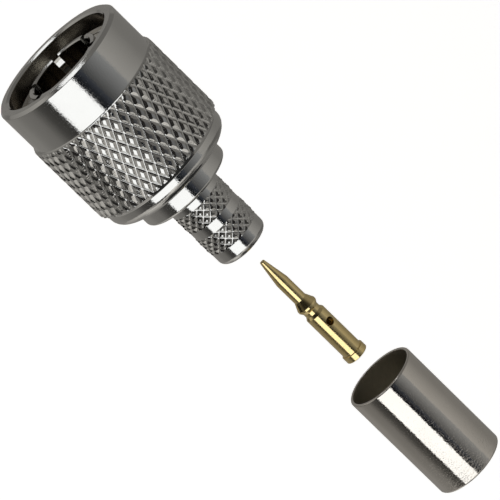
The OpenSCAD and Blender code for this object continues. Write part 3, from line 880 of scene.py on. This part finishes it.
def lit_sheet(name, spots, strengths, colour):
    """A sheet over a grid of points (mm), two for each strength, which shines that strongly there."""
    count = len(strengths)
    index = np.arange(2 * count).reshape(count, 2)
    faces = np.stack([index[:-1, 0], index[1:, 0], index[1:, 1], index[:-1, 1]], axis=-1)
    mesh = bpy.data.meshes.new(name)
    mesh.from_pydata((spots.reshape(-1, 3) * MM).tolist(), [], faces.tolist())
    mesh.attributes.new("glow", "FLOAT", "POINT").data.foreach_set("value", np.repeat(strengths, 2))
    shine = bpy.data.materials.new(name)
    shine.use_nodes = True
    tree = shine.node_tree
    tree.nodes.remove(tree.nodes["Principled BSDF"])
    glow = add_node(tree, "ShaderNodeAttribute", attribute_name="glow")
    lamp = add_node(
        tree, "ShaderNodeEmission", {"Color": linear(colour), "Strength": glow.outputs["Fac"]}
    )
    tree.links.new(lamp.outputs[0], tree.nodes["Material Output"].inputs["Surface"])
    mesh.materials.append(shine)
    sheet = bpy.data.objects.new(name, mesh)
    sheet.visible_camera = False
    sheet.visible_shadow = False
    bpy.context.scene.collection.objects.link(sheet)
    return sheet


def panel(name, turns, strengths, front, rear, colour):
    """A curved panel around the axis through these turns in degrees (0 towards the lens, positive to
    the lower left of the picture), with a strength at each and straight changes between them. Its front
    and rear edges are mm along x, or pairs of turns and mm with straight changes between."""
    degrees = np.linspace(turns[0], turns[-1], PANEL_STEPS)
    turn = np.radians(degrees)[:, None, None]
    lens = np.array([0, math.cos(RAISED), math.sin(RAISED)])
    side = np.array([0, math.sin(RAISED), -math.cos(RAISED)])
    spots = np.repeat(PANEL_R * (np.cos(turn) * lens + np.sin(turn) * side), 2, axis=1)
    for end, edge in enumerate((front, rear)):
        spots[:, end, 0] = np.interp(degrees, *edge) if isinstance(edge, tuple) else edge
    lit_sheet(name, spots, np.interp(degrees, turns, strengths), colour)


def end_wall(x, half):
    """Corners (mm) of a square across the axis at x, with this half side."""
    return np.array([[x, y, z] for y in (-half, half) for z in (-half, half)])


panel("softbox", [2, 51], [1.65, 1.65], MIDDLE_FRONT, MIDDLE_REAR, WHITE)
panel(
    "left_card", [51, 70, 88, 110, 128, 180], [0.045, 0.085, 0.22, 0.25, 0.3, 0.26],
    MIDDLE_FRONT, MIDDLE_REAR, WARM_WHITE,
)
panel("lens_flag", [-16, -6, 2], [0.08, 0.025, 0.008], MIDDLE_FRONT, MIDDLE_REAR, COLD_WHITE)
panel("dark_card", [-53, -16], [0.33, 0.08], MIDDLE_FRONT, MIDDLE_REAR, WHITE)
panel("right_card", [-180, -110, -53], [0.21, 0.26, 0.46], MIDDLE_FRONT, MIDDLE_REAR, WARM_WHITE)
panel(
    "near_front", [-180, -62, -52, -42, 30, 45, 61, 76, 92, 108, 180],
    [0.25, 0.2, 0.1, 0.03, 0.02, 0.08, 0.2, 0.5, 0.6, 0.4, 0.28], FRONT_SEAM, MIDDLE_FRONT, WARM_WHITE,
)
panel(
    "far_front", [-180, -60, -36, -20, 0, 10, 60, 110, 140, 180],
    [0.28, 0.27, 0.3, 0.2, 0.07, 0.03, 0.015, 0.01, 0.2, 0.28], FRONT, FRONT_SEAM, WARM_WHITE,
)
panel(
    "front_end", [-180, -53, -30, 0, 40, 60, 88, 180],
    [0.19, 0.2, 0.06, 0.02, 0.02, 0.08, 0.5, 0.19], FRONT_END, FRONT, WARM_WHITE,
)
panel(
    "right_wing", [-180, -80, -50, -20, 5, 22], [0.2, 0.15, 0.5, 0.5, 0.9, 1.0],
    MIDDLE_REAR, RIGHT_WING_REAR, WARM_WHITE,
)
panel(
    "left_wing", [22, 27, 34, 46, 77, 180], [1.0, 0.5, 0.03, 0.04, 0.7, 0.2],
    MIDDLE_REAR, LEFT_WING_REAR, WARM_WHITE,
)
panel(
    "right_rear", [-180, -45, -20, -5, 2, 22], [0.22, 0.24, 0.05, 0.03, 0.15, 0.84],
    RIGHT_WING_REAR, REAR, WARM_WHITE,
)
panel("left_rear", [22, 76, 110, 180], [0.84, 0.84, 0.4, 0.2], LEFT_WING_REAR, REAR, WARM_WHITE)
panel(
    "rear_end", [-180, -54, -28, 12, 40, 75, 180], [0.2, 0.3, 0.05, 0.4, 0.05, 0.7, 0.2],
    REAR, REAR_END, WARM_WHITE,
)
lit_sheet("rear_flag", end_wall(REAR_FLAG_AT, REAR_FLAG_HALF), np.full(2, REAR_FLAG_STRENGTH), WHITE)
window = lit_sheet("window", end_wall(FRONT_END, WINDOW_HALF), np.full(2, WINDOW_STRENGTH), WHITE)
# The window shows in metal and doesn't light matt pieces, so that the insulator stays dim in the mouth
window.visible_diffuse = False

# Paper and room. A sheet of white paper lies below the panels, in a dim room. Light Path makes both pale
# to the lens, in gloss and through glass, and keeps them dim to matt surfaces, which they hardly light.
FLOOR_Z = -420
FLOOR_HALF = 4000
PAPER_LIFT = 0.8
ROOM_LIGHT = 0.04
ROOM_SEEN = 0.88


def background_strength(tree, unseen, seen):
    """Strength of a pale background: the value seen for rays from the lens, from gloss and through
    glass, and the value unseen for all others."""
    ray = add_node(tree, "ShaderNodeLightPath")
    shown = add_node(
        tree, "ShaderNodeMath",
        {0: ray.outputs["Is Camera Ray"], 1: ray.outputs["Is Glossy Ray"]}, operation="MAXIMUM",
    )
    shown = add_node(
        tree, "ShaderNodeMath",
        {0: shown.outputs[0], 1: ray.outputs["Is Transmission Ray"]}, operation="MAXIMUM",
    )
    return add_node(
        tree, "ShaderNodeMapRange", {"Value": shown.outputs[0], "To Min": unseen, "To Max": seen}
    ).outputs[0]


floor_mesh = bpy.data.meshes.new("floor")
floor_mesh.from_pydata(
    (np.array([[-1, -1, 0], [1, -1, 0], [1, 1, 0], [-1, 1, 0]]) * FLOOR_HALF * MM
     + np.array([0, 0, FLOOR_Z * MM])).tolist(), [], [(0, 1, 2, 3)],
)
# White paper is matt and even
paper = bpy.data.materials.new("white_paper")
paper.use_nodes = True
paper_tree = paper.node_tree
paper_shader = paper_tree.nodes["Principled BSDF"]
paper_shader.inputs["Base Color"].default_value = linear("#f4f4f2")
paper_shader.inputs["Roughness"].default_value = 0.9
paper_shader.inputs["Emission Color"].default_value = linear(WHITE)
paper_tree.links.new(
    background_strength(paper_tree, 0.0, PAPER_LIFT), paper_shader.inputs["Emission Strength"]
)
floor_mesh.materials.append(paper)
floor = bpy.data.objects.new("floor", floor_mesh)
bpy.context.scene.collection.objects.link(floor)

world = bpy.data.worlds.new("room")
bpy.context.scene.world = world
world.use_nodes = True
backdrop = world.node_tree.nodes["Background"]
backdrop.inputs["Color"].default_value = linear(WHITE)
world.node_tree.links.new(
    background_strength(world.node_tree, ROOM_LIGHT, ROOM_SEEN), backdrop.inputs["Strength"]
)
bpy.context.scene.view_settings.view_transform = "Standard"
